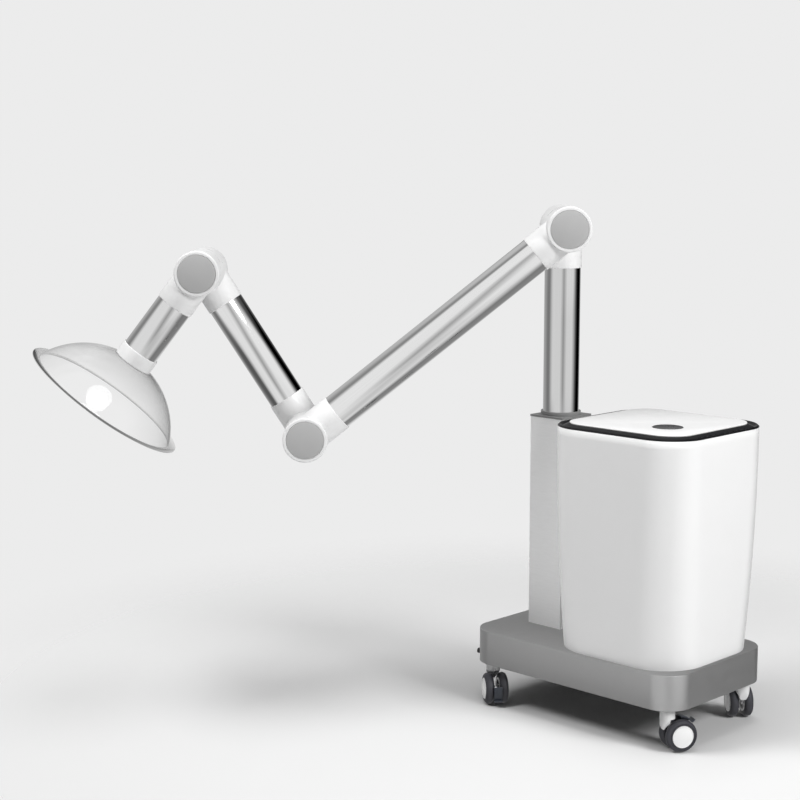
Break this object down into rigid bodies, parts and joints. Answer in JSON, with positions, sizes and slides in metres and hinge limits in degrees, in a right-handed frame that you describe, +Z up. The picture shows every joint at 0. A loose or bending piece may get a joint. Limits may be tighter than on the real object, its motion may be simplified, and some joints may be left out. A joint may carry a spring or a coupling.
{
  "type": "mobile fume extraction arm",
  "caption": "Rolling filter unit with a square air column and a jointed tube arm that ends in a clear dome suction hood",
  "frame": {"origin": "on the floor, straight under the swivel axis of the upright post", "axes": "+Z up; +X along the platform towards the filter canister; +Y across it, to the left when facing +X"},
  "size_m": [1.1939, 1.0761, 1.048],
  "materials": {
    "platform_grey": "satin",
    "chassis_black": "matte",
    "duct_plastic": "matte",
    "inlet_black": "satin",
    "plain_steel": "satin",
    "fork_plastic": "gloss",
    "tyre_rubber": "matte",
    "hub_white": "gloss",
    "pedal_dark": "satin",
    "column_silver": "satin",
    "flange_grey": "satin",
    "bush_grey": "satin",
    "tube_aluminium": "polished",
    "joint_white": "satin",
    "cap_grey": "satin",
    "clear_dome": "gloss",
    "canister_white": "gloss",
    "rim_black": "satin",
    "lid_white": "gloss",
    "button_dark": "satin",
    "filter_media": "matte",
    "carbon_media": "matte",
    "fan_metal": "satin",
    "impeller_plastic": "satin"
  },
  "bodies": {
    "base": {"platform_housing": "platform_grey", "chassis_plate": "chassis_black", "air_duct": "duct_plastic", "power_inlet": "inlet_black", "castor_stems": "plain_steel", "column": "column_silver", "flange_plate": "flange_grey", "swivel_bush": "bush_grey", "canister_shell": "canister_white", "canister_rim": "rim_black", "particle_filter": "filter_media", "carbon_filter": "carbon_media", "fan_frame": "fan_metal"},
    "post": {"post_tube": "tube_aluminium", "shoulder_rear_half": "joint_white", "shoulder_rear_cap": "cap_grey", "shoulder_spindle": "plain_steel"},
    "boom": {"shoulder_front_half": "joint_white", "shoulder_front_cap": "cap_grey", "boom_tube": "tube_aluminium", "elbow_front_half": "joint_white", "elbow_front_cap": "cap_grey"},
    "forearm": {"elbow_rear_half": "joint_white", "elbow_rear_cap": "cap_grey", "elbow_spindle": "plain_steel", "forearm_tube": "tube_aluminium", "wrist_rear_half": "joint_white", "wrist_rear_cap": "cap_grey", "wrist_spindle": "plain_steel"},
    "hood_arm": {"wrist_front_half": "joint_white", "wrist_front_cap": "cap_grey", "hood_tube": "tube_aluminium"},
    "hood": {"hood_collar": "joint_white", "hood_dome": "clear_dome"},
    "lid": {"canister_lid": "lid_white"},
    "button": {"control_button": "button_dark"},
    "fan": {"impeller": "impeller_plastic"},
    "castor_front": {"castor_front_fork": "fork_plastic"},
    "wheel_front_a": {"castor_front_tyre_a": "tyre_rubber", "castor_front_hub_a": "hub_white"},
    "wheel_front_b": {"castor_front_tyre_b": "tyre_rubber", "castor_front_hub_b": "hub_white"},
    "pedal_front": {"castor_front_pedal": "pedal_dark"},
    "castor_left": {"castor_left_fork": "fork_plastic"},
    "wheel_left_a": {"castor_left_tyre_a": "tyre_rubber", "castor_left_hub_a": "hub_white"},
    "wheel_left_b": {"castor_left_tyre_b": "tyre_rubber", "castor_left_hub_b": "hub_white"},
    "pedal_left": {"castor_left_pedal": "pedal_dark"},
    "castor_right": {"castor_right_fork": "fork_plastic"},
    "wheel_right_a": {"castor_right_tyre_a": "tyre_rubber", "castor_right_hub_a": "hub_white"},
    "wheel_right_b": {"castor_right_tyre_b": "tyre_rubber", "castor_right_hub_b": "hub_white"},
    "castor_back": {"castor_back_fork": "fork_plastic"},
    "wheel_back_a": {"castor_back_tyre_a": "tyre_rubber", "castor_back_hub_a": "hub_white"},
    "wheel_back_b": {"castor_back_tyre_b": "tyre_rubber", "castor_back_hub_b": "hub_white"}
  },
  "joints": [
    {"name": "post_swivel", "type": "hinge", "parent": "base", "child": "post", "pos_m": [0, 0, 0.402], "axis": [0, 0, 1], "range_deg": [-150, 150]},
    {"name": "shoulder", "type": "hinge", "parent": "post", "child": "boom", "pos_m": [0, 0, 1.002], "axis": [-0.7034, 0.7108, 0], "range_deg": [-25, 60]},
    {"name": "elbow", "type": "hinge", "parent": "boom", "child": "forearm", "pos_m": [-0.37916, -0.37521, 0.57465], "axis": [0.7034, -0.7108, 0], "range_deg": [-65, 50]},
    {"name": "wrist", "type": "hinge", "parent": "forearm", "child": "hood_arm", "pos_m": [-0.53189, -0.52634, 0.91322], "axis": [-0.7034, 0.7108, 0], "range_deg": [-25, 110]},
    {"name": "hood_turn", "type": "hinge", "parent": "hood_arm", "child": "hood", "pos_m": [-0.55927, -0.68006, 0.74391], "axis": [-0.4278, -0.4233, -0.7986], "continuous": true},
    {"name": "lid_lift", "type": "slide", "parent": "base", "child": "lid", "axis": [0, 0, 1], "range_m": [0, 0.06]},
    {"name": "button_press", "type": "slide", "parent": "lid", "child": "button", "axis": [0, 0, -1], "range_m": [0, 0.0015], "stiffness_N_per_m": 600, "springref_m": -0.001},
    {"name": "fan_spin", "type": "hinge", "parent": "base", "child": "fan", "pos_m": [0.251, 0, 0.5], "axis": [0, 0, 1], "continuous": true},
    {"name": "castor_front_swivel", "type": "hinge", "parent": "base", "child": "castor_front", "pos_m": [0.3815, -0.1305, 0.08], "axis": [0, 0, 1], "continuous": true},
    {"name": "wheel_front_a_roll", "type": "hinge", "parent": "castor_front", "child": "wheel_front_a", "pos_m": [0.40584, -0.11778, 0.0325], "axis": [-0.8721, 0.4894, 0], "continuous": true},
    {"name": "wheel_front_b_roll", "type": "hinge", "parent": "castor_front", "child": "wheel_front_b", "pos_m": [0.37967, -0.1031, 0.0325], "axis": [-0.8721, 0.4894, 0], "continuous": true},
    {"name": "pedal_front_press", "type": "hinge", "parent": "castor_front", "child": "pedal_front", "pos_m": [0.39276, -0.11044, 0.0325], "axis": [-0.8721, 0.4894, 0], "range_deg": [0, 69]},
    {"name": "castor_left_swivel", "type": "hinge", "parent": "base", "child": "castor_left", "pos_m": [-0.0695, -0.1305, 0.08], "axis": [0, 0, 1], "continuous": true},
    {"name": "wheel_left_a_roll", "type": "hinge", "parent": "castor_left", "child": "wheel_left_a", "pos_m": [-0.0602, -0.15634, 0.0325], "axis": [0.6032, 0.7976, 0], "continuous": true},
    {"name": "wheel_left_b_roll", "type": "hinge", "parent": "castor_left", "child": "wheel_left_b", "pos_m": [-0.04211, -0.13241, 0.0325], "axis": [0.6032, 0.7976, 0], "continuous": true},
    {"name": "pedal_left_press", "type": "hinge", "parent": "castor_left", "child": "pedal_left", "pos_m": [-0.05116, -0.14437, 0.0325], "axis": [0.6032, 0.7976, 0], "range_deg": [-69, 0]},
    {"name": "castor_right_swivel", "type": "hinge", "parent": "base", "child": "castor_right", "pos_m": [0.3815, 0.1305, 0.08], "axis": [0, 0, 1], "continuous": true},
    {"name": "wheel_right_a_roll", "type": "hinge", "parent": "castor_right", "child": "wheel_right_a", "pos_m": [0.37394, 0.1569, 0.0325], "axis": [-0.6547, -0.7559, 0], "continuous": true},
    {"name": "wheel_right_b_roll", "type": "hinge", "parent": "castor_right", "child": "wheel_right_b", "pos_m": [0.35429, 0.13422, 0.0325], "axis": [-0.6547, -0.7559, 0], "continuous": true},
    {"name": "castor_back_swivel", "type": "hinge", "parent": "base", "child": "castor_back", "pos_m": [-0.0695, 0.1305, 0.08], "axis": [0, 0, 1], "continuous": true},
    {"name": "wheel_back_a_roll", "type": "hinge", "parent": "castor_back", "child": "wheel_back_a", "pos_m": [-0.05872, 0.15576, 0.0325], "axis": [-0.9848, -0.1736, 0], "continuous": true},
    {"name": "wheel_back_b_roll", "type": "hinge", "parent": "castor_back", "child": "wheel_back_b", "pos_m": [-0.08827, 0.15055, 0.0325], "axis": [-0.9848, -0.1736, 0], "continuous": true}
  ]
}
